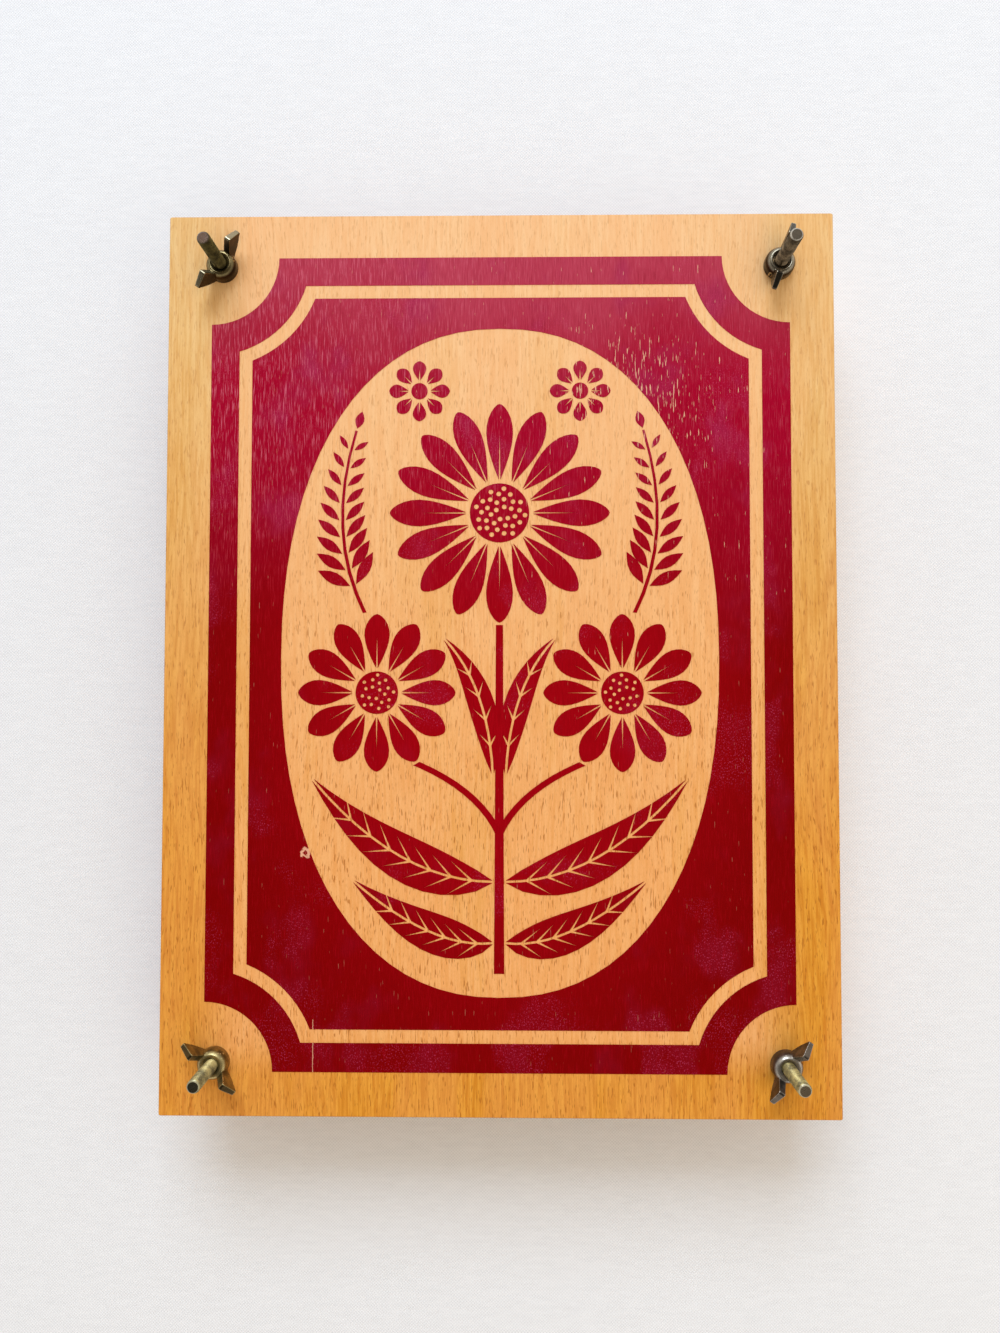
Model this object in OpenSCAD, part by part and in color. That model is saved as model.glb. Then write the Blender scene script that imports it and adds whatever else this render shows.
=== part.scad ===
// Flower press: two plywood boards, four coach bolts with wing nuts, and a stack of
// corrugated cards and blotting sheets between the boards.
// The origin is the middle of the underside, +X to the right, +Y along the long side, +Z up.

/* [Boards] */
// Width of both boards
board_w = 255; // [220:1:320]
// Length of both boards
board_l = 342; // [280:1:420]
// Thickness of the bottom board
bottom_board_t = 10; // [9:0.5:16]
// Thickness of the top board
top_board_t = 10; // [6:0.5:16]
// Radius of the boards' upright corners
board_corner_r = 0.8; // [0.4:0.1:6]
// Distance from a bolt's axis to the long edge of the boards
bolt_side_inset = 21.1; // [18:0.1:30]
// Distance from a bolt's axis to the short end of the boards
bolt_end_inset = 20.4; // [18:0.1:30]
// Play all round a bolt in the top board
board_hole_play = 0.5; // [0.3:0.05:1.5]
// Play all round a bolt in the bottom board
bottom_hole_play = 0.1; // [0.05:0.05:0.5]

/* [Bolts] */
// Outer diameter of the thread
bolt_d = 5; // [4:0.1:5.4]
// Length of a bolt below its head
bolt_l = 68; // [62:1:90]
// Chamfer at the tip of a bolt
bolt_tip_chamfer = 0.6; // [0.2:0.1:1]
// Diameter of the domed head
head_d = 13.5; // [11:0.1:14.5]
// Height of the domed head
head_h = 3.3; // [2:0.1:3.8]
// Height of the upright rim of the head
head_rim_h = 0.6; // [0.2:0.1:1]
// Width of the square neck under the head
neck_w = 5.5; // [5:0.1:7]
// Height of the square neck
neck_h = 4; // [2:0.1:4.8]
// Play all round the square neck in the bottom board
neck_play = 0.05; // [0.02:0.01:0.2]
// Diameter of the recess that holds a bolt's head
head_recess_d = 15; // [14.6:0.1:20]
// Depth of the recess that holds a bolt's head
head_recess_depth = 4; // [3.8:0.1:4.9]

/* [Wing nuts] */
// Diameter of the hub where it sits on the board
hub_base_d = 11.4; // [10:0.1:14]
// Diameter of the flat at the top of the hub
hub_top_d = 8; // [7.6:0.1:9.6]
// Height of the hub
hub_h = 5.8; // [4.5:0.1:6.1]
// Height of the straight foot of the hub
hub_foot_h = 2.9; // [0.4:0.1:3.5]
// Play all round the bolt in the nut
nut_play = 0.06; // [0.02:0.01:0.1]
// Width of the countersink at both ends of the nut's bore
nut_countersink = 1.1; // [0.3:0.1:1.3]
// Span from wing tip to wing tip
wing_span = 26.8; // [23:0.1:30]
// Height of the nut, at the inner corner of a wing's end
wing_peak_h = 12; // [10.5:0.1:15]
// Height of the outer corner of a wing's end
wing_tip_h = 8.5; // [6:0.1:10]
// Distance from the bolt's axis to the inner corner of a wing's end
wing_peak_r = 7.6; // [6.5:0.1:9]
// Height where a wing leaves the foot of the hub
wing_root_h = 1.2; // [0.5:0.1:2]
// Thickness of a wing at the hub
wing_root_t = 3; // [2.4:0.1:4]
// Thickness of a wing at its end
wing_end_t = 1.8; // [1.4:0.1:2.3]
// Radius of the corners of a wing's end
wing_corner_r = 0.6; // [0.4:0.1:1.5]

/* [Sheets] */
// Thickness of a corrugated card
card_t = 3.6; // [2.6:0.1:5]
// Thickness of a card's two flat liners
liner_t = 0.3; // [0.2:0.05:0.6]
// Thickness of a card's wavy middle
medium_t = 0.3; // [0.2:0.05:0.6]
// Distance from one flute to the next
flute_pitch = 7.8; // [6:0.1:10]
// Thickness of a blotting sheet
blotter_t = 1; // [0.4:0.1:2]
// Distance from the boards' edge to the cards' edge
card_inset = 3; // [1.5:0.1:12]
// Distance from the boards' edge to the blotting sheets' edge
blotter_inset = 4; // [1.5:0.1:12]
// Distance from a bolt to the cut corner of a sheet
corner_gap = 3; // [1.5:0.1:8]
// How far the sheets are out of line with each other
sheet_shift = 0.6; // [0:0.1:1]

/* [Printed design] */
// Thickness of the ink
ink_t = 0.15; // [0.1:0.05:0.4]
// Bare margin along the long edges
print_side_margin = 16.8; // [13:0.1:22]
// Bare margin along the short ends
print_end_margin = 16.5; // [13:0.1:22]
// Radius of the bare quarter-round at each corner
corner_round_r = 25.8; // [23:0.1:32]
// Width of the outer band along the edges
band_w = 10.8; // [6:0.1:14]
// Width of the outer band round a corner
corner_band_w = 12; // [8:0.1:16]
// Width of the bare stripe inside the band
stripe_w = 5; // [2:0.1:8]
// Narrowest ink between the stripe and the oval
oval_surround = 12; // [6:0.1:20]
// Width of the stems
stem_w = 2.6; // [1.5:0.1:4]
// Width of the bare veins and of the gaps between petals
vein_w = 0.9; // [0.5:0.1:1.5]

/* [Hidden] */
$fn = 96;

beech = [0.89, 0.68, 0.40];
ink = [0.50, 0.05, 0.12];
old_steel = [0.42, 0.40, 0.33];
kraft = [0.70, 0.55, 0.38];
blotting = [0.93, 0.91, 0.85];

// Overrun of every cut past the face that it goes through
over = 1;

// Sides of the middle where each bolt stands: left or right, then front or back
front_left = [-1, -1];
front_right = [1, -1];
back_left = [-1, 1];
back_right = [1, 1];
corners = [front_left, front_right, back_left, back_right];
bolt_x = board_w / 2 - bolt_side_inset;
bolt_y = board_l / 2 - bolt_end_inset;
bolt_r = bolt_d / 2;
head_r = head_d / 2;

// Turn of each wing nut about its bolt, from the wings lying along X
nut_turn_front_left = -42;
nut_turn_front_right = 56;
nut_turn_back_left = 54;
nut_turn_back_right = 73;

// Heights, from the underside up: each pair of blotting sheets lies between two cards
stack_z = bottom_board_t;
leaf_t = card_t + 2 * blotter_t;
pressed_t = 5 * card_t + 8 * blotter_t;
top_board_z = stack_z + pressed_t;
top_z = top_board_z + top_board_t;

// Radius of the dome that joins the rim of a bolt's head to its crown
crown_h = head_h - head_rim_h;
crown_r = (head_r * head_r + crown_h * crown_h) / (2 * crown_h);

// The hub's side is an arc that rises upright from the foot and ends at the top flat
hub_base_r = hub_base_d / 2;
hub_top_r = hub_top_d / 2;
hub_draw = hub_base_r - hub_top_r;
hub_rise = hub_h - hub_foot_h;
hub_arc_r = (hub_draw * hub_draw + hub_rise * hub_rise) / (2 * hub_draw);
nut_bore_r = bolt_r + nut_play;

// Flutes: arches that stand on the lower liner and hang from the upper one by turns
flute_depth = card_t - 2 * liner_t - medium_t;
flute_half_share = 0.35;
flute_steps = 6;
card_w = board_w - 2 * card_inset;
flute_count = floor(card_w / flute_pitch);
flute_half_w = flute_pitch * flute_half_share;

// Printed design
print_w = board_w - 2 * print_side_margin;
print_l = board_l - 2 * print_end_margin;
oval_rx = print_w / 2 - band_w - stripe_w - oval_surround;
oval_ry = print_l / 2 - band_w - stripe_w - oval_surround;
oval_power = 2.25;
oval_steps = 80;

// Places of the blooms as shares of the oval's half width and half length
main_bloom_share = [0, 0.44];
side_bloom_share = [0.56, -0.10];
high_bloom_share = [0.37, 0.81];

// Radii of the blooms as shares of the oval's half width
main_bloom_r_share = 0.505;
side_bloom_r_share = 0.36;
high_bloom_r_share = 0.14;
main_bloom_r = main_bloom_r_share * oval_rx;
side_bloom_r = side_bloom_r_share * oval_rx;
high_bloom_r = high_bloom_r_share * oval_rx;

// Foot, bend and tip of each stem, leaf and frond, as shares of the oval's half width and length
main_stem_shares = [[0, -0.93], [0, -0.5], [0, 0.2]];
side_stem_shares = [[0, -0.52], [0.10, -0.38], [0.42, -0.30]];
low_leaf_shares = [[0.03, -0.84], [0.30, -0.86], [0.66, -0.66]];
broad_leaf_shares = [[0.03, -0.66], [0.46, -0.66], [0.85, -0.36]];
high_leaf_shares = [[0.03, -0.34], [0.05, -0.08], [0.25, 0.06]];
frond_shares = [[0.50, 0.02], [0.84, 0.30], [0.66, 0.69]];

// Half widths of the leaves and length of the frond's longest leaflet, as shares of the oval's half width
low_leaf_w_share = 0.085;
broad_leaf_w_share = 0.10;
high_leaf_w_share = 0.055;
frond_leaflet_share = 0.165;

// Widths of the stems' ends as shares of the stems' width
main_stem_foot_share = 1.5;
side_stem_tip_share = 0.8;
frond_stem_share = 0.6;

// A daisy's disc and the room that its petals fill, as shares of its radius, then the seeds as
// shares of the disc's radius and the slit as a share of a petal's length
disc_share = 0.27;
petal_room_share = 0.68;
seed_share = 0.08;
seed_ring_share = 0.86;
slit_share = 0.6;

// A leaflet's width as a share of its length, and how much the leaflets shorten along the frond
leaflet_w_share = 0.33;
frond_taper_share = 0.62;
end_leaflet_share = 0.5;

// Reach of a leaf's side veins as a share of the leaf's half width
vein_reach_share = 1.35;

// Rectangular plate with rounded upright corners, resting on its own base
module board(thickness) {
    linear_extrude(thickness) union() {
        square([board_w - 2 * board_corner_r, board_l], center = true);
        square([board_w, board_l - 2 * board_corner_r], center = true);
        for (side = corners)
            translate([side[0] * (board_w / 2 - board_corner_r), side[1] * (board_l / 2 - board_corner_r)])
                circle(r = board_corner_r);
    }
}

module at_bolt(side) {
    translate([side[0] * bolt_x, side[1] * bolt_y]) children();
}

module bottom_board() {
    color(beech) difference() {
        board(bottom_board_t);
        for (side = corners) at_bolt(side) {
            translate([0, 0, -over]) cylinder(h = head_recess_depth + over, d = head_recess_d);
            translate([0, 0, head_recess_depth + neck_h / 2 + neck_play - over / 2])
                cube([neck_w + 2 * neck_play, neck_w + 2 * neck_play, neck_h + over], center = true);
            cylinder(h = bottom_board_t + over, r = bolt_r + bottom_hole_play);
        }
    }
}

module top_board() {
    color(beech) translate([0, 0, top_board_z]) difference() {
        board(top_board_t);
        for (side = corners) at_bolt(side)
            translate([0, 0, -over])
                cylinder(h = top_board_t + 2 * over, r = bolt_r + board_hole_play);
    }
}

// Coach bolt standing on its domed head, square neck above the head
module bolt(side) {
    color(old_steel) at_bolt(side) translate([0, 0, head_recess_depth]) union() {
        rotate_extrude() intersection() {
            translate([0, -head_h]) square([head_r, head_h]);
            translate([0, crown_r - head_h]) circle(r = crown_r);
        }
        translate([0, 0, neck_h / 2]) cube([neck_w, neck_w, neck_h], center = true);
        cylinder(h = bolt_l - bolt_tip_chamfer, r = bolt_r);
        translate([0, 0, bolt_l - bolt_tip_chamfer])
            cylinder(h = bolt_tip_chamfer, r1 = bolt_r, r2 = bolt_r - bolt_tip_chamfer);
    }
}

module bolt_front_left() { bolt(front_left); }
module bolt_front_right() { bolt(front_right); }
module bolt_back_left() { bolt(back_left); }
module bolt_back_right() { bolt(back_right); }

// Points of the arc that rounds the corner b between its neighbours a and c
function unit(v) = v / norm(v);
function round_corner(a, b, c, r, steps) =
    let (
        to_a = unit(a - b),
        to_c = unit(c - b),
        half = acos(to_a * to_c) / 2,
        middle = b + unit(to_a + to_c) * r / sin(half),
        start = b + to_a * r / tan(half) - middle,
        finish = b + to_c * r / tan(half) - middle
    )
    [for (i = [0 : steps]) middle + unit(start * (steps - i) + finish * i) * r];

// Side view of one wing: it leaves the hub at its foot, flares out to a slanted flat end
// and comes back to the hub's top in a shallow hollow
module wing_side() {
    root_low = [hub_top_r - wing_end_t, wing_root_h];
    foot = [hub_base_r, wing_root_h];
    tip = [wing_span / 2, wing_tip_h];
    peak = [wing_peak_r, wing_peak_h];
    shoulder = [hub_top_r, hub_h - nut_countersink];
    root_high = [hub_top_r - wing_end_t, shoulder[1]];
    waist = (tip + foot) / 2 - [0, wing_root_h / 2];
    round_steps = 6;
    polygon(concat(
        [root_low, foot, waist],
        round_corner(waist, tip, peak, wing_corner_r, round_steps),
        round_corner(tip, peak, shoulder, wing_corner_r, round_steps),
        [shoulder, root_high]
    ));
}

// Top view of one wing, thinning from the hub to its end
module wing_plan() {
    reach = wing_span / 2;
    polygon([
        [0, -wing_root_t / 2], [hub_top_r, -wing_root_t / 2], [reach, -wing_end_t / 2],
        [reach, wing_end_t / 2], [hub_top_r, wing_root_t / 2], [0, wing_root_t / 2]
    ]);
}

module wing() {
    intersection() {
        rotate([90, 0, 0]) linear_extrude(wing_root_t + over, center = true) wing_side();
        linear_extrude(wing_peak_h + over) wing_plan();
    }
}

// Wing nut on its hub, wings along X: a turned hub, two wings and a bore countersunk at both ends
module wing_nut(side, turn) {
    color(old_steel) at_bolt(side) translate([0, 0, top_z]) rotate([0, 0, turn]) difference() {
        union() {
            rotate_extrude() intersection() {
                square([hub_base_r, hub_h]);
                union() {
                    square([hub_base_r, hub_foot_h]);
                    translate([hub_base_r - hub_arc_r, hub_foot_h]) circle(r = hub_arc_r);
                }
            }
            wing();
            mirror([1, 0, 0]) wing();
        }
        translate([0, 0, -over]) cylinder(h = hub_h + 2 * over, r = nut_bore_r);
        translate([0, 0, hub_h - nut_countersink])
            cylinder(h = nut_countersink, r1 = nut_bore_r, r2 = nut_bore_r + nut_countersink);
        cylinder(h = nut_countersink, r1 = nut_bore_r + nut_countersink, r2 = nut_bore_r);
        translate([0, 0, hub_h]) cylinder(h = wing_peak_h, r = nut_bore_r + nut_countersink);
    }
}

module wing_nut_front_left() { wing_nut(front_left, nut_turn_front_left); }
module wing_nut_front_right() { wing_nut(front_right, nut_turn_front_right); }
module wing_nut_back_left() { wing_nut(back_left, nut_turn_back_left); }
module wing_nut_back_right() { wing_nut(back_right, nut_turn_back_right); }

// Outline of a sheet: a rectangle whose corners are cut slantwise to clear the bolts
module sheet_outline(inset) {
    half_w = board_w / 2 - inset;
    half_l = board_l / 2 - inset;
    reach = bolt_x + bolt_y - (bolt_r + corner_gap + sheet_shift) * sqrt(2);
    cut = half_w + half_l - reach;
    polygon([
        [half_w - cut, -half_l], [half_w, cut - half_l], [half_w, half_l - cut], [half_w - cut, half_l],
        [cut - half_w, half_l], [-half_w, half_l - cut], [-half_w, cut - half_l], [cut - half_w, -half_l]
    ]);
}

// Each sheet is a little out of line with the one below it
function shift_of(number) = sheet_shift * [cos(number * 137.5), sin(number * 137.5)];

// One open flute: an arch that stands on the line of the liner
module flute() {
    polygon([
        for (i = [0 : flute_steps])
            let (x = flute_half_w * (2 * i / flute_steps - 1))
            [x, flute_depth * cos(90 * x / flute_half_w)]
    ]);
}

module fluted_section() {
    first = -(flute_count - 1) / 2;
    difference() {
        translate([-card_w / 2, 0]) square([card_w, card_t]);
        for (i = [0 : flute_count - 1])
            translate([(first + i) * flute_pitch, liner_t]) flute();
        for (i = [1 : flute_count - 1])
            translate([(first + i - 1 / 2) * flute_pitch, card_t - liner_t]) mirror([0, 1]) flute();
    }
}

// Corrugated card whose flutes run along the long side and are open at both ends
module card(number) {
    z = stack_z + (number - 1) * leaf_t;
    color(kraft) translate([0, 0, z]) translate(shift_of(2 * number)) intersection() {
        translate([0, board_l / 2, 0]) rotate([90, 0, 0]) linear_extrude(board_l) fluted_section();
        translate([0, 0, -over]) linear_extrude(card_t + 2 * over) sheet_outline(card_inset);
    }
}

module card_1() { card(1); }
module card_2() { card(2); }
module card_3() { card(3); }
module card_4() { card(4); }
module card_5() { card(5); }

// Blotting sheet, two to each space between cards
module blotter(number) {
    space = ceil(number / 2);
    z = stack_z + (space - 1) * leaf_t + card_t + (number % 2 == 0 ? blotter_t : 0);
    color(blotting) translate([0, 0, z]) translate(shift_of(number + 10))
        linear_extrude(blotter_t) sheet_outline(blotter_inset);
}

module blotter_1() { blotter(1); }
module blotter_2() { blotter(2); }
module blotter_3() { blotter(3); }
module blotter_4() { blotter(4); }
module blotter_5() { blotter(5); }
module blotter_6() { blotter(6); }
module blotter_7() { blotter(7); }
module blotter_8() { blotter(8); }

// Rectangle with hollow quarter-round corners, centred on the corners of the printed area
module print_frame(inset, corner_r) {
    difference() {
        square([print_w - 2 * inset, print_l - 2 * inset], center = true);
        for (side = corners)
            translate([side[0] * print_w / 2, side[1] * print_l / 2]) circle(r = corner_r);
    }
}

function signed_power(v, power) = sign(v) * pow(abs(v), power);

module oval() {
    polygon([
        for (i = [0 : oval_steps - 1])
            let (a = 360 * i / oval_steps)
            [
                oval_rx * signed_power(cos(a), 2 / oval_power),
                oval_ry * signed_power(sin(a), 2 / oval_power)
            ]
    ]);
}

// Curve from c[0] to c[2] that bends towards c[1]
function along(c, t) = (1 - t) * (1 - t) * c[0] + 2 * t * (1 - t) * c[1] + t * t * c[2];
function heading(c, t) = unit((1 - t) * (c[1] - c[0]) + t * (c[2] - c[1]));
function left_of(v) = [-v[1], v[0]];
function in_oval(share) = [share[0] * oval_rx, share[1] * oval_ry];
function curve_of(shares) = [for (share = shares) in_oval(share)];

module stem(c, start_w, end_w) {
    steps = 10;
    width = [for (i = [0 : steps]) start_w + (end_w - start_w) * i / steps];
    polygon(concat(
        [for (i = [0 : steps]) along(c, i / steps) + left_of(heading(c, i / steps)) * width[i] / 2],
        [for (i = [steps : -1 : 0]) along(c, i / steps) - left_of(heading(c, i / steps)) * width[i] / 2]
    ));
}

// Half of a leaf on one side of its bare midrib
module leaf_half(c, half_w, side) {
    steps = 12;
    fullness = 0.8;
    polygon(concat(
        [for (i = [0 : steps]) along(c, i / steps) + left_of(heading(c, i / steps)) * side * vein_w / 2],
        [
            for (i = [steps - 1 : -1 : 1])
                let (t = i / steps, w = vein_w / 2 + half_w * sin(180 * pow(t, fullness)))
                along(c, t) + left_of(heading(c, t)) * side * w
        ]
    ));
}

// Leaf with a bare midrib and bare side veins that run slantwise towards its edge
module leaf(c, half_w, veins) {
    slant = 36;
    difference() {
        for (side = [-1, 1]) leaf_half(c, half_w, side);
        for (i = [1 : veins], side = [-1, 1])
            let (t = i / (veins + 2), way = heading(c, t))
            translate(along(c, t)) rotate(atan2(way[1], way[0]) + side * slant)
                polygon([[0, -vein_w / 2], [vein_reach_share * half_w, 0], [0, vein_w / 2]]);
    }
}

// Spacing that crowds the points of an outline towards both its ends
function eased(i, steps) = (1 - cos(180 * i / steps)) / 2;

// Pointed oval from the origin along X
module leaflet(length, width) {
    steps = 6;
    polygon(concat(
        [for (i = [0 : steps]) [length * i / steps, width / 2 * sin(180 * i / steps)]],
        [for (i = [steps - 1 : -1 : 1]) [length * i / steps, -width / 2 * sin(180 * i / steps)]]
    ));
}

// Fern frond: a thin stem with pairs of leaflets that shorten towards the tip
module frond(c, pairs, longest) {
    slant = 46;
    bare_share = 0.34;
    tip = heading(c, 1);
    stem_foot_w = stem_w * frond_stem_share;
    end_l = longest * end_leaflet_share;
    stem(c, stem_foot_w, vein_w);
    for (i = [0 : pairs - 1], side = [-1, 1])
        let (
            t = bare_share + (1 - bare_share) * i / pairs,
            way = heading(c, t),
            length = longest * (1 - frond_taper_share * i / pairs)
        )
        translate(along(c, t) + left_of(way) * side * (stem_foot_w / 2 + vein_w / 2))
            rotate(atan2(way[1], way[0]) + side * slant)
                leaflet(length, length * leaflet_w_share);
    translate(along(c, 1) + tip * vein_w) rotate(atan2(tip[1], tip[0]))
        leaflet(end_l, end_l / 2);
}

// Round-tipped petal with a bare slit, from r0 to r1 along X
module petal(r0, r1, width) {
    steps = 14;
    lean = 1.5;
    fullness = 0.6;
    function half(t) = width / 2 * pow(sin(180 * pow(t, lean)), fullness);
    slit_end = r0 + (r1 - r0) * slit_share;
    difference() {
        polygon(concat(
            [for (i = [0 : steps]) let (t = eased(i, steps)) [r0 + (r1 - r0) * t, half(t)]],
            [for (i = [steps - 1 : -1 : 1]) let (t = eased(i, steps)) [r0 + (r1 - r0) * t, -half(t)]]
        ));
        translate([r0, -vein_w / 4]) square([vein_w, vein_w / 2]);
        polygon([[r0 + vein_w / 2, -vein_w / 3], [slit_end, 0], [r0 + vein_w / 2, vein_w / 3]]);
    }
}

// Daisy: a ring of petals round a disc of seeds
module daisy(place_share, radius, petals, seeds) {
    disc_r = radius * disc_share;
    seed_r = disc_r * seed_share;
    petal_w = 2 * radius * petal_room_share * sin(180 / petals) - vein_w;
    translate(in_oval(place_share)) {
        for (i = [0 : petals - 1])
            rotate(90 + 360 * i / petals) petal(disc_r + vein_w, radius, petal_w);
        difference() {
            circle(r = disc_r);
            for (i = [1 : seeds])
                rotate(i * 137.5) translate([disc_r * seed_ring_share * sqrt(i / seeds), 0])
                    circle(r = seed_r, $fn = 16);
        }
    }
}

// Bare ground round a daisy that covers what grows behind it
module ground_of(place_share, radius) {
    translate(in_oval(place_share)) circle(r = radius + vein_w);
}

// Stems, leaves and frond of the right half, behind the daisies
module greenery() {
    stem(curve_of(side_stem_shares), stem_w, stem_w * side_stem_tip_share);
    leaf(curve_of(low_leaf_shares), oval_rx * low_leaf_w_share, 6);
    leaf(curve_of(broad_leaf_shares), oval_rx * broad_leaf_w_share, 7);
    leaf(curve_of(high_leaf_shares), oval_rx * high_leaf_w_share, 4);
    frond(curve_of(frond_shares), 9, oval_rx * frond_leaflet_share);
}

// Right half of the spray, without the bloom in the middle
module spray_side() {
    difference() {
        greenery();
        ground_of(main_bloom_share, main_bloom_r);
        ground_of(side_bloom_share, side_bloom_r);
    }
    daisy(side_bloom_share, side_bloom_r, 12, 20);
    daisy(high_bloom_share, high_bloom_r, 8, 0);
}

// Symmetrical spray of daisies, leaves and fern
module spray() {
    spray_side();
    mirror([1, 0]) spray_side();
    daisy(main_bloom_share, main_bloom_r, 16, 34);
    difference() {
        stem(curve_of(main_stem_shares), stem_w * main_stem_foot_share, stem_w);
        ground_of(main_bloom_share, main_bloom_r);
    }
}

module printed_design() {
    color(ink) translate([0, 0, top_z]) linear_extrude(ink_t) {
        difference() {
            print_frame(0, corner_round_r);
            print_frame(band_w, corner_round_r + corner_band_w);
        }
        difference() {
            print_frame(band_w + stripe_w, corner_round_r + corner_band_w + stripe_w);
            oval();
        }
        spray();
    }
}

bottom_board();
top_board();
printed_design();
bolt_front_left();
bolt_front_right();
bolt_back_left();
bolt_back_right();
wing_nut_front_left();
wing_nut_front_right();
wing_nut_back_left();
wing_nut_back_right();
card_1();
card_2();
card_3();
card_4();
card_5();
blotter_1();
blotter_2();
blotter_3();
blotter_4();
blotter_5();
blotter_6();
blotter_7();
blotter_8();
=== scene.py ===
import math
import bmesh
import bpy
from mathutils import Matrix, Vector


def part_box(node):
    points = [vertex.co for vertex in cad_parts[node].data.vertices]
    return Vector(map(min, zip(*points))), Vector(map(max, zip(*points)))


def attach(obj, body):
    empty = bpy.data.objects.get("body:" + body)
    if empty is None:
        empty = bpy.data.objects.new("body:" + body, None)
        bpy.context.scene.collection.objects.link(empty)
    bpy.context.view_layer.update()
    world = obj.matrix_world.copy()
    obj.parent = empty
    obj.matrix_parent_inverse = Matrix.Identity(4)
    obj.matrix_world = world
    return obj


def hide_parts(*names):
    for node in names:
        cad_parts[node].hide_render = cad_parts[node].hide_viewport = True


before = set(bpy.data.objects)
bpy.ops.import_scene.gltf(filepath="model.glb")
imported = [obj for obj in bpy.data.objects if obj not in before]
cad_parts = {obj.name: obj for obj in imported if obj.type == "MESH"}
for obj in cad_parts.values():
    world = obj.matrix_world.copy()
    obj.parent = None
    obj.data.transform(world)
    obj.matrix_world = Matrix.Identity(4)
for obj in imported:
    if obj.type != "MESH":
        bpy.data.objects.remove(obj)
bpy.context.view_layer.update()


# Bottom board. A plate of beech-faced plywood, sawn square, drilled near its corners for the bolts
# and counterbored from below for their heads. Its arrises are only eased with sandpaper.
MM = 0.001
ARRIS = 0.3 * MM
FACE_PLY = 0.9
CORE_PLIES = 5
GRAIN_WANDERS = (9, 0, 9)


class Signal:
    """What comes out of a node. Arithmetic on it adds Math nodes to the same recipe."""

    def __init__(self, recipe, socket):
        self.recipe, self.socket = recipe, socket

    def maths(self, operation, first, second):
        return self.recipe.node("ShaderNodeMath", {"operation": operation}, first, second)

    def __add__(self, other):
        return self.maths("ADD", self, other)

    def __sub__(self, other):
        return self.maths("SUBTRACT", self, other)

    def __rsub__(self, other):
        return self.maths("SUBTRACT", other, self)

    def __mul__(self, other):
        return self.maths("MULTIPLY", self, other)

    def __truediv__(self, other):
        return self.maths("DIVIDE", self, other)

    def __mod__(self, other):
        return self.maths("FLOORED_MODULO", self, other)

    def __gt__(self, other):
        return self.maths("GREATER_THAN", self, other)

    def __lt__(self, other):
        return self.maths("LESS_THAN", self, other)

    def __abs__(self):
        return self.recipe.node("ShaderNodeMath", {"operation": "ABSOLUTE"}, self)

    __radd__, __rmul__ = __add__, __mul__

    def __getitem__(self, name):
        return Signal(self.recipe, self.socket.node.outputs[name])


class Recipe:
    """A tree of nodes under construction, for a finish or for a shape."""

    def __init__(self, tree):
        self.tree = tree

    def node(self, kind, settings=None, *values, **named):
        """One node: its settings go in first, then the values and links of its live sockets."""
        made = self.tree.nodes.new(kind)
        for setting, choice in (settings or {}).items():
            setattr(made, setting, choice)
        live = [socket for socket in made.inputs if socket.enabled]
        fed = list(zip(live, values))
        for name, value in named.items():
            label = name.replace("_", " ")
            fed.append((next(socket for socket in live if socket.name == label), value))
        for socket, value in fed:
            if isinstance(value, Signal):
                self.tree.links.new(value.socket, socket)
            else:
                socket.default_value = value
        results = [socket for socket in made.outputs if socket.enabled]
        return Signal(self, results[0]) if results else made

    def step(self, signal, low, high):
        """0 below low, 1 above high, and a soft rise between them."""
        return self.node("ShaderNodeMapRange", {"interpolation_type": "SMOOTHSTEP"}, signal, low, high)

    def more(self, first, second):
        return self.node("ShaderNodeMath", {"operation": "MAXIMUM"}, first, second)

    def sine(self, signal):
        return self.node("ShaderNodeMath", {"operation": "SINE"}, signal)

    def parts(self, vector):
        """What a vector measures along X, Y and Z, each asked for by its letter."""
        return self.node("ShaderNodeSeparateXYZ", None, vector)

    def mix(self, share, first, second, blend="MIX"):
        settings = {"data_type": "RGBA", "blend_type": blend}
        return self.node("ShaderNodeMix", settings, share, first, second)

    def stretch(self, at, x, y, z):
        return self.node("ShaderNodeVectorMath", {"operation": "MULTIPLY"}, at, (x, y, z))

    def cloud(self, at, detail=2.0, roughness=0.5):
        return self.node("ShaderNodeTexNoise", None, at, Scale=1.0, Detail=detail, Roughness=roughness)


class Finish(Recipe):
    """A material. Its patterns are measured in millimetres on the press."""

    def __init__(self, name):
        self.material = bpy.data.materials.new(name)
        self.material.use_nodes = True
        super().__init__(self.material.node_tree)
        self.tree.nodes.clear()
        self.place = self.node("ShaderNodeTexCoord")
        self.at = self.stretch(self.place["Object"], 1 / MM, 1 / MM, 1 / MM)

    def away_from(self, point):
        """How many millimetres it is to a point on the press."""
        return self.node("ShaderNodeVectorMath", {"operation": "DISTANCE"}, self.at, point)["Value"]

    def relief(self, height, depth):
        """A bump as deep as given, in millimetres, where height goes from 0 to 1."""
        return self.node("ShaderNodeBump", None, Height=height, Distance=depth * MM)

    def surface(self, **sockets):
        shader = self.node("ShaderNodeBsdfPrincipled", None, **sockets)
        self.node("ShaderNodeOutputMaterial", None, Surface=shader)
        return self.material


def tint(red, green, blue):
    """A colour as a paint chart gives it, 0 to 255, as Blender needs it."""
    colour = []
    for part in (red, green, blue):
        share = part / 255
        colour.append(share / 12.92 if share <= 0.04045 else ((share + 0.055) / 1.055) ** 2.4)
    return colour + [1.0]


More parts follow.
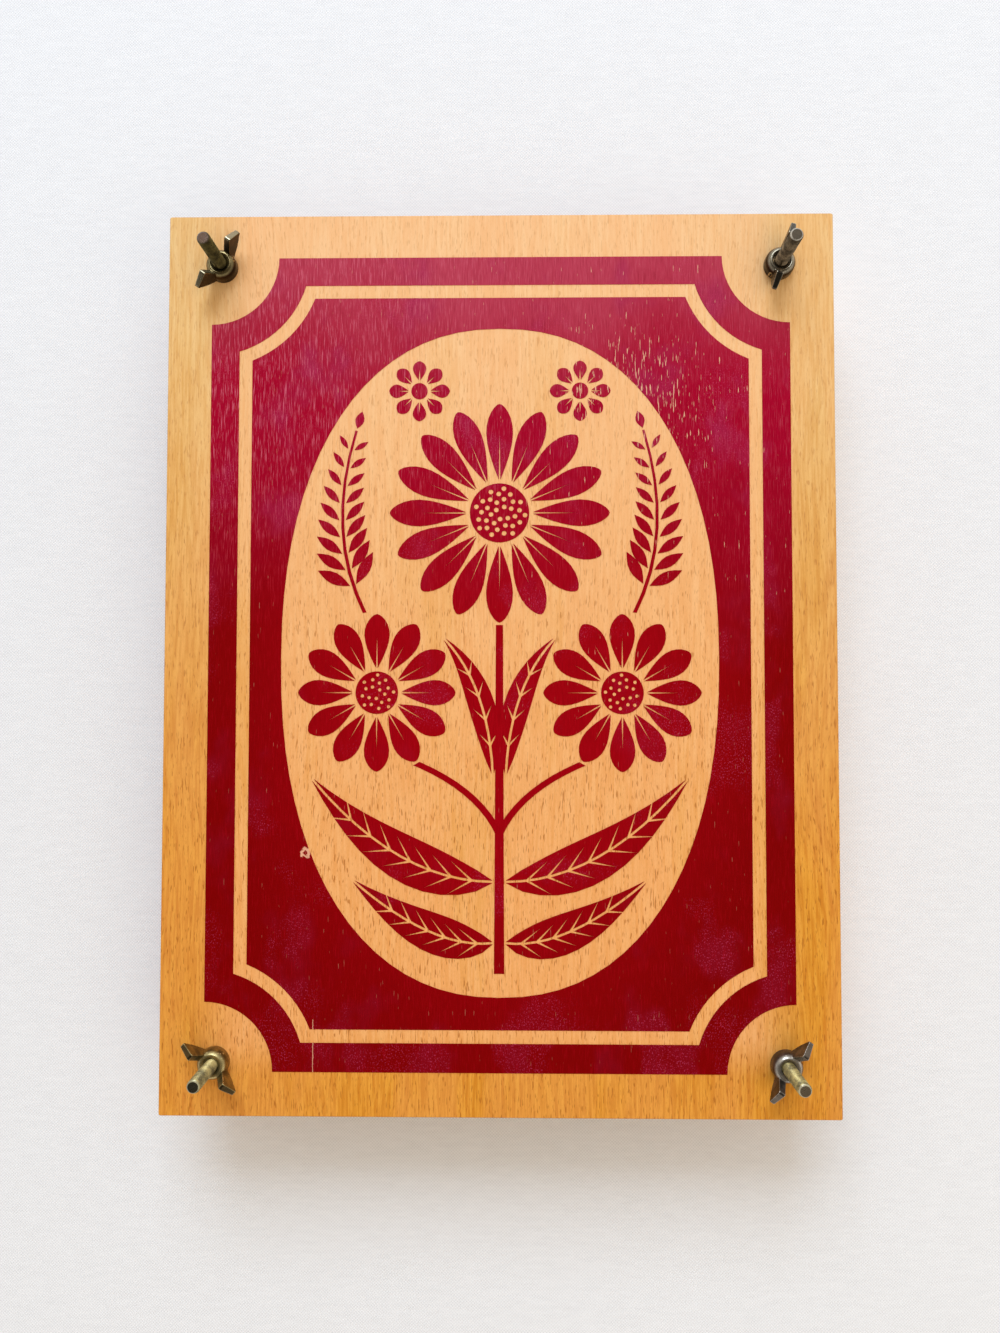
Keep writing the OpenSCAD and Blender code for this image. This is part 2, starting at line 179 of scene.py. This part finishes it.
def beech_plywood(finish, underside, thickness):
    """Colour and grain of the plywood, whose underside lies so many millimetres up."""
    core_ply = (thickness - 2 * FACE_PLY) / CORE_PLIES
    at = finish.node("ShaderNodeMapping", None, finish.at, Location=(0, 0, -underside))
    spot = finish.parts(at)
    up = spot["Z"]
    facing = finish.parts(finish.place["Normal"])
    flat = abs(facing["Z"])
    end_wall = abs(facing["Y"]) > 0.5

    # The core's plies lie crosswise and lengthwise by turns, with a line of glue between each two.
    in_core = (up > FACE_PLY) * (up < thickness - FACE_PLY)
    ply = (up - FACE_PLY) / core_ply
    across = in_core * ((ply % 2.0) < 1.0)
    sawn = 1 - finish.step(flat, 0.3, 0.6)
    glue = (1 - finish.step(abs((ply + 0.5) % 1.0 - 0.5), 0.02, 0.06)) * sawn
    about_z = {"rotation_type": "Z_AXIS"}
    crosswise = finish.node("ShaderNodeVectorRotate", about_z, at, Angle=math.pi / 2)
    grain = finish.node("ShaderNodeMix", {"data_type": "VECTOR"}, across, at, crosswise)

    # Long soft bands, fine streaks, short dark flecks, and pores so small that they hardly show.
    drift = finish.cloud(finish.stretch(grain, 0.03, 0.008, 0.03), 1.0)["Color"]
    add_drift = {"operation": "MULTIPLY_ADD"}
    grain = finish.node("ShaderNodeVectorMath", add_drift, drift, GRAIN_WANDERS, grain)
    bands = finish.cloud(finish.stretch(grain, 0.05, 0.006, 0.05), 3.0)
    streaks = finish.cloud(finish.stretch(grain, 1.2, 0.06, 1.2), 4.0, 0.62)
    flecks = finish.step(finish.cloud(finish.stretch(grain, 2.1, 0.26, 2.1), 1.0), 0.6, 0.7)
    pores = finish.cloud(finish.stretch(grain, 5.5, 0.9, 5.5), 2.0, 0.6)

    # The far end is paler and the near end more yellow: painted sheen at the far end and painted shade
    # growing towards the near end. The side margins and the near edge are browner.
    painted_light_falloff = finish.step(spot["Y"] + bands * 90 - 45, 170.0, -90.0)
    by_side = finish.step(abs(spot["X"]), 92.0, 116.0)
    by_near_end = finish.step(spot["Y"], -138.0, -158.0)
    margin_band = finish.more(by_side, by_near_end)
    honey = finish.mix(
        margin_band, finish.mix(painted_light_falloff, tint(253, 205, 151), tint(252, 185, 117)),
        finish.mix(painted_light_falloff, tint(245, 205, 141), tint(238, 163, 54)),
    )
    deep = finish.mix(
        margin_band, finish.mix(painted_light_falloff, tint(247, 188, 128), tint(238, 160, 84)),
        finish.mix(painted_light_falloff, tint(232, 178, 104), tint(205, 119, 8)),
    )
    colour = finish.mix(finish.step(streaks, 0.34, 0.66) * 0.8, honey, deep)
    colour = finish.mix(finish.step(bands, 0.38, 0.6) * 0.25, colour, tint(244, 166, 98))
    colour = finish.mix(finish.step(bands, 0.48, 0.3) * (0.1 + painted_light_falloff * 0.25), colour, tint(228, 160, 58))
    colour = finish.mix(finish.step(pores, 0.45, 0.75) * (0.1 + painted_light_falloff * 0.12), colour, tint(192, 118, 40))
    dark = finish.mix(painted_light_falloff, tint(208, 142, 80), tint(176, 98, 22))
    colour = finish.mix(flecks * (0.4 + painted_light_falloff * 0.3), colour, dark)

    # Sawn edges: end grain is browner, and the glue lines are dark.
    cut_across = finish.more(across * (1 - end_wall), (1 - across) * end_wall) * sawn
    colour = finish.mix(cut_across * 0.8, colour, tint(181, 124, 70), "MULTIPLY")
    # The eased arrises are darkened with the glue lines' brown, as painted shade.
    arris = (1 - finish.step(flat, 0.75, 0.96)) * finish.step(flat, 0.1, 0.3)
    colour = finish.mix(finish.more(glue * 0.75, arris * 0.35), colour, tint(92, 58, 30))
    relief = 0.7 - flecks * 0.5 - pores * 0.4 - glue * 0.3
    return colour, relief, pores


def beech_finish(name, node):
    low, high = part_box(node)
    finish = Finish(name)
    colour, relief, pores = beech_plywood(finish, low.z / MM, (high.z - low.z) / MM)
    return finish.surface(
        Base_Color=colour, Roughness=0.46 + pores * 0.16, Specular_IOR_Level=0.2,
        Normal=finish.relief(relief, 0.06),
    )


def merged_copy(node, name):
    """A CAD node's own shape as one closed skin, which a finer piece starts from."""
    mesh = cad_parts[node].data.copy()
    mesh.name = name
    mesh.materials.clear()
    skin = bmesh.new()
    skin.from_mesh(mesh)
    bmesh.ops.remove_doubles(skin, verts=skin.verts, dist=0.002 * MM)
    bmesh.ops.dissolve_limit(skin, angle_limit=math.radians(0.5), verts=skin.verts, edges=skin.edges)
    skin.to_mesh(mesh)
    skin.free()
    piece = bpy.data.objects.new(name, mesh)
    bpy.context.scene.collection.objects.link(piece)
    return piece


def settled(piece):
    """Makes the piece's modifiers real and takes them off."""
    bpy.context.view_layer.update()
    seen = piece.evaluated_get(bpy.context.evaluated_depsgraph_get())
    mesh = bpy.data.meshes.new_from_object(seen)
    piece.modifiers.clear()
    piece.data = mesh


def board(node, name, body):
    plate = merged_copy(node, name)
    eased = plate.modifiers.new("eased arris", "BEVEL")
    eased.width = ARRIS
    eased.segments = 3
    eased.limit_method = "ANGLE"
    eased.angle_limit = math.radians(40)
    eased.use_clamp_overlap = False
    eased.harden_normals = True
    settled(plate)
    plate.data.materials.append(beech_finish(name + "_beech", node))
    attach(plate, body)
    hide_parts(node)


board("bottom_board", "bottom_plate", "base")


# Coach bolts. Each is cold-forged steel: a domed head sunk into the bottom board, a square neck that
# bites into the wood, and a thread rolled up to a chamfered tip. The plating has dulled to olive.
PITCH = 0.8 * MM
ROWS_A_TURN = 6
CREST_R = 2.47 * MM
ROOT_R = 2.05 * MM
TIP_R = 1.9 * MM
SHANK_R = 2.24 * MM
SHANK_H = 5 * PITCH
HEAD_R = 6.75 * MM
HEAD_H = 3.3 * MM
HEAD_RIM = 0.6 * MM
DOME_STEPS = 8
TURNED_EDGE = 0.15 * MM
NECK = 5.5 * MM
NECK_H = 4 * MM
NECK_EDGE = 0.25 * MM


class Shape(Recipe):
    """A Geometry Nodes tree with named inputs, which ends in real, painted faces."""

    def __init__(self, name, **inputs):
        super().__init__(bpy.data.node_groups.new(name, "GeometryNodeTree"))
        face = self.tree.interface
        face.new_socket(name="Start", in_out="INPUT", socket_type="NodeSocketGeometry")
        self.keys = {
            key: face.new_socket(name=key, in_out="INPUT", socket_type="NodeSocket" + kind).identifier
            for key, kind in inputs.items()
        }
        face.new_socket(name="Result", in_out="OUTPUT", socket_type="NodeSocketGeometry")
        self.given = self.node("NodeGroupInput")

    def joined(self, *parts):
        pool = self.tree.nodes.new("GeometryNodeJoinGeometry")
        for part in parts:
            self.tree.links.new(part.socket, pool.inputs[0])
        return Signal(self, pool.outputs[0])

    def end(self, geometry):
        real = self.node("GeometryNodeRealizeInstances", None, geometry)
        painted = self.node("GeometryNodeSetMaterial", None, real, Material=self.given["Finish"])
        self.node("NodeGroupOutput", None, painted)

    def on(self, piece, **values):
        modifier = piece.modifiers.new(self.tree.name, "NODES")
        modifier.node_group = self.tree
        for key, value in values.items():
            modifier[self.keys[key]] = value
        settled(piece)


def rolled_thread():
    """A skin whose rows of points wind up the bolt, so that crest and root follow the helix."""
    sides = 32
    shape = Shape(
        "rolled thread", Centre="Vector", Foot="Float", Tip="Float", Pitch="Float", Crest="Float",
        Root="Float", End="Float", Rows="Int", Finish="Material",
    )
    given = shape.given
    grid = shape.node(
        "GeometryNodeMeshGrid", None, 1.0, given["Rows"] - 1,
        Vertices_X=sides + 1, Vertices_Y=given["Rows"],
    )
    spot = shape.parts(shape.node("GeometryNodeInputPosition"))
    turn = spot["X"] + 0.5
    row = shape.node("ShaderNodeMath", {"operation": "ROUND"}, spot["Y"] + (given["Rows"] - 1) * 0.5)
    height = given["Foot"] + (row / ROWS_A_TURN + turn - 1) * given["Pitch"]
    height = shape.node("ShaderNodeClamp", None, height, given["Foot"], given["Tip"])
    wave = abs((row / ROWS_A_TURN % 1.0) * 2 - 1)
    ridge = shape.node("ShaderNodeClamp", None, wave * 1.6 - 0.3)
    radius = given["Root"] + ridge * (given["Crest"] - given["Root"])
    for room in (given["Tip"] - height, height - given["Foot"]):
        radius = shape.node("ShaderNodeMath", {"operation": "MINIMUM"}, radius, given["End"] + room)
    angle = turn * (2 * math.pi)
    flank = shape.node(
        "ShaderNodeCombineXYZ", None,
        radius * shape.node("ShaderNodeMath", {"operation": "COSINE"}, angle),
        radius * shape.sine(angle), height,
    )
    wound = shape.node("GeometryNodeSetPosition", None, grid, Position=flank)
    disc = shape.node("GeometryNodeMeshCircle", {"fill_type": "NGON"}, sides, given["End"])
    under = shape.node("GeometryNodeFlipFaces", None, disc)
    up_to_tip = shape.node("ShaderNodeCombineXYZ", None, Z=given["Tip"])
    up_to_foot = shape.node("ShaderNodeCombineXYZ", None, Z=given["Foot"])
    top = shape.node("GeometryNodeTransform", None, disc, Translation=up_to_tip)
    foot = shape.node("GeometryNodeTransform", None, under, Translation=up_to_foot)
    skin = shape.joined(wound, top, foot)
    skin = shape.node("GeometryNodeMergeByDistance", None, skin, Distance=0.004 * MM)
    skin = shape.node("GeometryNodeTransform", None, skin, Translation=given["Centre"])
    shape.end(shape.joined(given["Start"], skin))
    return shape


def turned(skin, centre, profile, sides=48):
    """Adds a closed turned solid. Its profile runs from the axis below to the axis above."""
    rings = []
    for radius, height in profile:
        if radius == 0:
            rings.append([skin.verts.new(centre + Vector((0, 0, height)))])
        else:
            angles = [2 * math.pi * side / sides for side in range(sides)]
            spots = [(radius * math.cos(angle), radius * math.sin(angle), height) for angle in angles]
            rings.append([skin.verts.new(centre + Vector(spot)) for spot in spots])
    for lower, upper in zip(rings, rings[1:]):
        for side in range(sides):
            after = (side + 1) % sides
            corners = [lower[side % len(lower)], lower[after % len(lower)]]
            corners += [upper[after % len(upper)], upper[side % len(upper)]]
            skin.faces.new(dict.fromkeys(corners))


def dulled_steel(name, tones, ends_from, rims_from, wear_and_highlights):
    """Plated steel gone dull. Its ends and rims, from so many millimetres up, have their own tones:
    painted reflections and painted highlights.
    """
    body, ends, rims, rough, metal = tones
    finish = Finish(name)
    clouds = finish.cloud(finish.stretch(finish.at, 0.24, 0.24, 0.24), 4.0, 0.65)
    specks = finish.cloud(finish.stretch(finish.at, 2.6, 2.6, 2.6), 3.0, 0.6)
    pits = finish.cloud(finish.stretch(finish.at, 7, 7, 7), 2.0)
    upward = finish.parts(finish.place["Normal"])["Z"]
    height = finish.parts(finish.at)["Z"]
    # Sharp edges take the rim tone: painted highlights, partly handling wear.
    edge = finish.step(finish.node("ShaderNodeNewGeometry")["Pointiness"], 0.515, 0.57) * wear_and_highlights
    patina = finish.step(clouds * 0.75 + specks * 0.25, 0.36, 0.62)
    colour = finish.mix(patina * 0.85, tint(*body), tint(*[part * 0.36 for part in body]))
    end = finish.step(height, ends_from, ends_from + 0.05) * finish.step(upward, 0.6, 0.8)
    # Faces turned upward take the rim tone too, as painted highlights.
    edge = finish.more(edge, finish.step(upward, 0.4, 0.8) * (1 - end) * wear_and_highlights * 0.6)
    # The upward end faces take their own tone, with patina: a painted reflection.
    end_reflection_and_patina = finish.mix(patina * 0.6, tint(*ends), tint(*[part * 0.75 for part in ends]))
    colour = finish.mix(end, colour, end_reflection_and_patina)
    # A bolt's tip chamfer takes the rim tone as a painted reflection ring.
    chamfer = finish.step(height, rims_from, rims_from + 0.1) * (1 - end)
    colour = finish.mix(finish.more(edge, chamfer) * (0.95 - patina * 0.35), colour, tint(*rims))
    rust = finish.step(specks, 0.62, 0.76) * 0.5
    colour = finish.mix(rust, colour, tint(74, 46, 26))
    polish = finish.more(finish.more(edge, chamfer), end) * 0.1
    return finish.surface(
        Base_Color=colour, Metallic=metal + end * wear_and_highlights * (0.95 - metal) - rust * 0.4,
        Roughness=rough + patina * 0.1 + rust * 0.2 - polish,
        Normal=finish.relief(specks * 0.7 + pits * 0.3, 0.03),
    )


thread = rolled_thread()
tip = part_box("bolt_front_left")[1].z / MM
tip_face = tip - 0.05
tip_chamfer = tip - 0.6

# The colours of each bolt's body, tip and chamfer, its roughness, and how metallic it still looks.
# These are lit and shaded copies of one steel: the far bolts are painted dark, as painted shade, the
# near ones pale, as painted light, and the tips and chamfers carry painted reflections.
lit_and_shaded_bolt_tones = {
    "back_left": ((116, 100, 54), (116, 94, 80), (92, 80, 66), 0.26, 0.9),
    "back_right": ((150, 128, 98), (108, 98, 84), (214, 206, 190), 0.26, 0.9),
    "front_left": ((192, 170, 108), (66, 62, 48), (178, 172, 136), 0.32, 0.55),
    "front_right": ((194, 172, 108), (128, 112, 90), (196, 186, 156), 0.32, 0.55),
}
for place in ("front_left", "front_right", "back_left", "back_right"):
    low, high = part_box("bolt_" + place)
    centre = (low + high) / 2
    axis = Vector((centre.x, centre.y, 0))
    crown = low.z
    bearing = crown + HEAD_H
    shank_top = bearing + NECK_H + SHANK_H
    dome_h = HEAD_H - HEAD_RIM
    dome_r = (HEAD_R**2 + dome_h**2) / (2 * dome_h)
    dome = []
    for number in range(DOME_STEPS + 1):
        swing = math.asin(HEAD_R / dome_r) * number / DOME_STEPS
        dome.append((dome_r * math.sin(swing), crown + dome_r * (1 - math.cos(swing))))
    profile = dome + [
        (HEAD_R, bearing - TURNED_EDGE), (HEAD_R - TURNED_EDGE, bearing), (SHANK_R, bearing),
        (SHANK_R, shank_top - TURNED_EDGE), (SHANK_R - TURNED_EDGE, shank_top), (0, shank_top),
    ]
    skin = bmesh.new()
    turned(skin, axis, profile)
    neck = bmesh.ops.create_cube(skin, size=1)["verts"]
    middle = Matrix.Translation((axis.x, axis.y, bearing + NECK_H / 2))
    bmesh.ops.transform(skin, matrix=middle @ Matrix.Diagonal((NECK, NECK, NECK_H, 1)), verts=neck)
    neck_edges = list({edge for vert in neck for edge in vert.link_edges})
    bmesh.ops.bevel(skin, geom=neck_edges, offset=NECK_EDGE, segments=3, affect="EDGES", profile=0.5)
    mesh = bpy.data.meshes.new("coach_bolt_" + place)
    skin.to_mesh(mesh)
    skin.free()
    bolt = bpy.data.objects.new("coach_bolt_" + place, mesh)
    bpy.context.scene.collection.objects.link(bolt)
    steel = dulled_steel("bolt_steel_" + place, lit_and_shaded_bolt_tones[place], tip_face, tip_chamfer, wear_and_highlights=0.0)
    foot = shank_top - PITCH
    turns = math.ceil((high.z - foot) / PITCH) + 2
    thread.on(
        bolt, Centre=tuple(axis), Foot=foot, Tip=high.z, Pitch=PITCH, Crest=CREST_R, Root=ROOT_R,
        End=TIP_R, Rows=turns * ROWS_A_TURN + 1, Finish=steel,
    )
    bolt.data.shade_smooth()
    bolt.data.set_sharp_from_angle(angle=math.radians(32))
    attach(bolt, "base")
    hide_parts("bolt_" + place)


# Cards. Corrugated board cut with slanted corners to clear the bolts. Two kraft liners are glued to a
# wavy middle, whose open flutes let the damp out. The liners show the flutes faintly.
FLUTE_PITCH = 7.8
kraft = Finish("kraft_card")
fibres = kraft.cloud(kraft.stretch(kraft.at, 1.1, 0.5, 1.1), 4.0, 0.7)
fluff = kraft.cloud(kraft.stretch(kraft.at, 5, 5, 5), 2.0)
stains = kraft.cloud(kraft.stretch(kraft.at, 0.03, 0.03, 0.03), 2.0)
washboard = kraft.sine(kraft.parts(kraft.at)["X"] * (2 * math.pi / FLUTE_PITCH))
kraft_colour = kraft.mix(kraft.step(fibres, 0.3, 0.7), tint(190, 150, 104), tint(164, 122, 78))
kraft_colour = kraft.mix(kraft.step(fluff, 0.62, 0.75) * 0.35, kraft_colour, tint(112, 80, 48))
kraft_colour = kraft.mix(kraft.step(stains, 0.4, 0.7) * 0.25, kraft_colour, tint(204, 170, 126))
kraft_card = kraft.surface(
    Base_Color=kraft_colour, Roughness=0.82 + fluff * 0.1,
    Normal=kraft.relief(fibres * 0.5 + washboard * 0.5, 0.08),
)
for number in range(1, 6):
    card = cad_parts[f"card_{number}"]
    card.data.materials.clear()
    card.data.materials.append(kraft_card)


# Blotting sheets. Soft, thick, unsized paper in pairs between the cards, a little smaller than they
# are. It is off-white, with loose fibres and faint brown marks where flowers were pressed.
paper = Finish("blotting_paper")
felt = paper.cloud(paper.stretch(paper.at, 1.6, 1.6, 1.6), 5.0, 0.7)
hairs = paper.cloud(paper.stretch(paper.at, 0.6, 4.5, 0.6), 3.0, 0.6)
marks = paper.cloud(paper.stretch(paper.at, 0.045, 0.045, 0.3), 3.0, 0.6)
paper_colour = paper.mix(paper.step(felt, 0.3, 0.7), tint(240, 236, 224), tint(226, 220, 204))
paper_colour = paper.mix(paper.step(marks, 0.6, 0.78) * 0.4, paper_colour, tint(206, 186, 146))
blotting_paper = paper.surface(
    Base_Color=paper_colour, Roughness=0.9 + hairs * 0.08,
    Normal=paper.relief(felt * 0.6 + hairs * 0.4, 0.07),
)
for number in range(1, 9):
    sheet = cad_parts[f"blotter_{number}"]
    sheet.data.materials.clear()
    sheet.data.materials.append(blotting_paper)


# Top board. The same plywood as the bottom board, with holes that slide on the bolts. Its face was
# sanded and printed. Its far end is painted paler, as painted sheen, and its near end more yellow, as
# painted shade.
board("top_board", "top_plate", "top_board")


# Printed design. One layer of maroon ink, screen-printed on the bare wood. It lies thin over the
# grain, is worn to the wood beside the oval, and has a chip, a scratch and dusty patches of its own.
low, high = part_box("top_board")
board_top = high.z / MM
WORN_AT = (52, 98, board_top)
CHIP_AT = (-73, -73, board_top)
SCRATCH_X = -69.3
SCRATCH_END = -135.0
ink = Finish("maroon_ink")
wood, wood_relief = beech_plywood(ink, low.z / MM, (high.z - low.z) / MM)[:2]
print_at = ink.parts(ink.at)
cover = ink.cloud(ink.stretch(ink.at, 0.022, 0.012, 0.022), 3.0, 0.6)
ridges = ink.cloud(ink.stretch(ink.at, 3.4, 0.16, 1.0), 3.0, 0.62)
dust = ink.cloud(ink.stretch(ink.at, 2.6, 1.7, 1.0), 1.0)
dust_patch = ink.cloud(ink.stretch(ink.at, 0.03, 0.03, 1.0), 2.0)
# Towards the far end the ink is painted brighter and pinker, as painted light, and the far band paler
# still, as a painted sheen. The mauve patches grow with that painted light.
light_falloff_at = print_at["Y"] + cover * 70 - 35
painted_far_light = ink.step(light_falloff_at, 0.0, 105.0)
painted_sheen = ink.step(light_falloff_at, 95.0, 165.0)
spread = ink.stretch(ink.at, 1.25, 0.9, 0.0)
outward = ink.node("ShaderNodeVectorMath", {"operation": "LENGTH"}, spread)["Value"]
ink_colour = ink.mix(ink.step(outward, 55.0, 150.0), tint(157, 0, 12), tint(128, 0, 1))
ink_colour = ink.mix(painted_far_light, ink_colour, tint(167, 2, 42))
ink_colour = ink.mix(painted_sheen, ink_colour, tint(186, 62, 84))
mauve = ink.step(ink.cloud(ink.stretch(ink.at, 0.045, 0.03, 1.0), 3.0, 0.6), 0.5, 0.72)
ink_colour = ink.mix(mauve * (0.1 + painted_far_light * 0.43), ink_colour, tint(164, 40, 84))
# The grain's ridges take pale painted highlights, strongest towards the far left.
to_left = ink.step(print_at["X"] + cover * 60 - 30, 40.0, -100.0)
ridge_glint = ink.mix(painted_far_light, tint(206, 16, 40), tint(224, 120, 140))
ink_colour = ink.mix(ink.step(ridges, 0.53, 0.66) * (0.16 + painted_far_light * to_left * 0.46), ink_colour, ridge_glint)
ink_colour = ink.mix(ink.step(ridges, 0.5, 0.32) * 0.3, ink_colour, tint(120, 0, 10))
dusty = ink.step(dust, 0.6, 0.68) * ink.step(dust_patch + mauve * 0.25, 0.54, 0.7)
ink_colour = ink.mix(dusty * 0.45, ink_colour, tint(206, 70, 112))

# Bare wood shows through scuffs, most of them near one place, through the ring of a chip, and
# through a scratch that runs off the near end.
off_worn = ink.away_from(WORN_AT)
worn_near = 1 - ink.step(off_worn, 8.0, 46.0)
scuffs = ink.cloud(ink.stretch(ink.at, 2.0, 0.17, 1.0), 2.0, 0.55)
far_scuffs_fade = 1 - ink.step(off_worn, 50.0, 120.0) * 0.75
worn = ink.step(scuffs + worn_near * 0.12, 0.71, 0.75) * far_scuffs_fade
nibbled = ink.cloud(ink.stretch(ink.at, 0.8, 0.8, 1.0), 2.0)
off_chip = ink.away_from(CHIP_AT) + nibbled * 3
chip = (1 - ink.step(off_chip, 3.2, 3.6)) * ink.step(off_chip, 2.1, 2.5)
off_line = abs(print_at["X"] - SCRATCH_X + nibbled * 0.8)
scratch = (1 - ink.step(off_line, 0.08, 0.22)) * (print_at["Y"] < SCRATCH_END) * 0.8
bare = ink.more(ink.more(worn, chip), scratch)
ink_colour = ink.mix(bare * 0.85, ink_colour, ink.mix(0.45, wood, tint(242, 196, 184)))
maroon = ink.surface(
    Base_Color=ink_colour, Roughness=0.42 + ridges * 0.2, Specular_IOR_Level=0.03,
    Normal=ink.relief(wood_relief * 0.4 + ridges * 0.6 - bare * 0.4, 0.1),
)
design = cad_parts["printed_design"]
design.data.materials.clear()
design.data.materials.append(maroon)


# Wing nuts. Cast with a domed hub and two wings that flare up to slanted flat ends, then drilled and
# tapped. The casting is soft at its corners. The two far nuts are painted nearly black, as painted
# shade, and the two near ones pale, as painted light.
GRAIN_OF_CASTING = 0.19 * MM

# Above the hub only the wings' ends face upward. A nut has no chamfer, so its rims start nowhere.
wing_ends = board_top + 6.2
above_the_press = 90.0

# The colours of each nut's body, wing ends and edges, its roughness and how metallic it looks. These
# are lit and shaded copies of one steel: the far nuts' bodies are painted shade and the near ones'
# painted light, the wing ends carry painted reflections, and the edges painted highlights, partly
# handling wear.
lit_and_shaded_nut_tones = {
    "back_left": ((60, 42, 18), (172, 158, 128), (202, 180, 124), 0.24, 0.9),
    "back_right": ((60, 46, 32), (96, 90, 80), (226, 212, 182), 0.24, 0.9),
    "front_left": ((146, 120, 60), (92, 74, 44), (236, 214, 150), 0.3, 0.75),
    "front_right": ((100, 88, 80), (120, 108, 96), (236, 226, 208), 0.26, 0.7),
}
for place in ("front_left", "front_right", "back_left", "back_right"):
    nut = merged_copy("wing_nut_" + place, "cast_nut_" + place)
    cast = nut.modifiers.new("cast", "REMESH")
    cast.mode = "VOXEL"
    cast.voxel_size = GRAIN_OF_CASTING
    cast.use_smooth_shade = True
    softened = nut.modifiers.new("soft corners", "SMOOTH")
    softened.factor = 0.5
    softened.iterations = 4
    settled(nut)
    steel = dulled_steel("nut_steel_" + place, lit_and_shaded_nut_tones[place], wing_ends, above_the_press, wear_and_highlights=0.9)
    nut.data.materials.clear()
    nut.data.materials.append(steel)
    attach(nut, "wing_nut_" + place)
    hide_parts("wing_nut_" + place)


# The table, the light and the camera. The press lies on a white woven cloth. A cool window stands
# beyond its far end, and a wide warm light hangs over its near end. The camera looks almost straight
# down, from a little nearer than the middle of the press.
THREAD_SPACING = 1.3
TABLE_R = 2.2
TABLE_Z = -0.2 * MM
TABLE_SIDES = 96
cloth = Finish("white_cloth")
cloth_at = cloth.parts(cloth.at)
warp = cloth.sine(cloth_at["X"] * (2 * math.pi / THREAD_SPACING))
weft = cloth.sine(cloth_at["Y"] * (2 * math.pi / THREAD_SPACING))
slubs = cloth.cloud(cloth.stretch(cloth.at, 0.12, 0.5, 1.0), 2.0)
weave = warp * weft * 0.5 + 0.5
cloth_colour = cloth.mix(weave * (0.25 + slubs * 0.6), tint(252, 252, 254), tint(214, 214, 217))
white_cloth = cloth.surface(Base_Color=cloth_colour, Roughness=0.9, Normal=cloth.relief(weave, 0.06))
rim = [2 * math.pi * side / TABLE_SIDES for side in range(TABLE_SIDES)]
corners = [(TABLE_R * math.cos(angle), TABLE_R * math.sin(angle), TABLE_Z) for angle in rim]
table_mesh = bpy.data.meshes.new("table")
table_mesh.from_pydata(corners, [], [range(len(corners))])
table = bpy.data.objects.new("table", table_mesh)
table_mesh.materials.append(white_cloth)
bpy.context.scene.collection.objects.link(table)


def window(name, place, width, height, watts, colour, mirrored=True):
    """A soft oblong light that faces the middle of the press."""
    lamp = bpy.data.lights.new(name, "AREA")
    lamp.shape = "RECTANGLE"
    lamp.size = width
    lamp.size_y = height
    lamp.energy = watts
    lamp.color = colour
    lit = bpy.data.objects.new(name, lamp)
    lit.location = place
    lit.rotation_euler = (-Vector(place)).to_track_quat("-Z", "Y").to_euler()
    lit.visible_glossy = mirrored
    bpy.context.scene.collection.objects.link(lit)


window("far_window", (-0.2, 1.8, 1.65), 1.4, 1.1, 36.6, (0.68, 0.82, 1.0))
window("near_fill", (0.8, -0.9, 2.1), 3.0, 2.4, 27.6, (1.0, 0.85, 0.64), mirrored=False)

# The room has pale walls. Overhead it is bright towards the window and dim towards the near side.
world = bpy.data.worlds.new("room")
bpy.context.scene.world = world
world.use_nodes = True
room = Recipe(world.node_tree)
room.tree.nodes.clear()
look = room.parts(room.node("ShaderNodeTexCoord")["Generated"])
upper = room.mix(room.step(look["Y"], 0.0, 0.6), (0.08, 0.07, 0.055, 1), (0.95, 0.92, 0.88, 1))
walls = room.mix(room.step(look["Z"], 0.38, 0.52), (0.84, 0.83, 0.82, 1), upper)
room.node("ShaderNodeOutputWorld", None, room.node("ShaderNodeBackground", None, walls, 1.0))

eye = bpy.data.cameras.new("eye")
eye.sensor_fit = "VERTICAL"
eye.sensor_height = 36
eye.lens = 27.0
eye.clip_start = 0.01
camera = bpy.data.objects.new("eye", eye)
askew = Matrix.Rotation(math.radians(-0.03), 4, "Z")
leaning = Matrix.Rotation(math.radians(-0.83), 4, "Y")
nodding = Matrix.Rotation(math.radians(-2.07), 4, "X")
held_at = Matrix.Translation((0.0057, -0.0164, 0.424))
camera.matrix_world = held_at @ (askew @ leaning @ nodding).transposed()
bpy.context.scene.collection.objects.link(camera)
bpy.context.scene.camera = camera
bpy.context.scene.view_settings.view_transform = "Standard"
